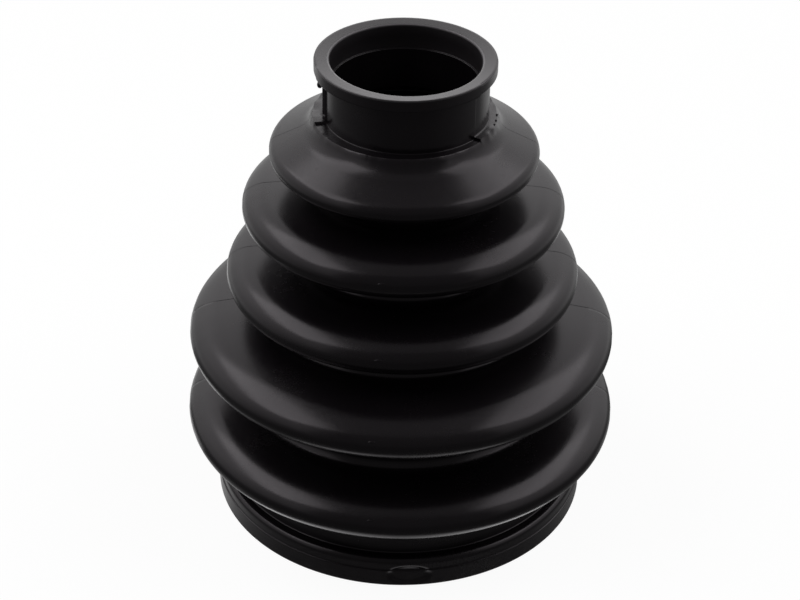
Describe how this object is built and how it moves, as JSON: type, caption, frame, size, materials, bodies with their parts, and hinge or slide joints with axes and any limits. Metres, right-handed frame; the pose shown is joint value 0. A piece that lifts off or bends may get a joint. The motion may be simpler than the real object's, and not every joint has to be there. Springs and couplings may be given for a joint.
{
  "type": "bellows boot",
  "caption": "Tapered rubber bellows boot, open at both ends, with a clamp seat round each collar.",
  "frame": {"origin": "centre of the large mouth, in the plane of its end face", "axes": "+Z along the boot's axis from the large mouth to the small one; -Y is the side with the oval pocket in the large collar"},
  "size_m": [0.1172, 0.1172, 0.13],
  "materials": {
    "rubber": "satin black, slightly glossy as moulded"
  },
  "bodies": {
    "root": {"bellows_boot": "rubber"}
  },
  "joints": []
}
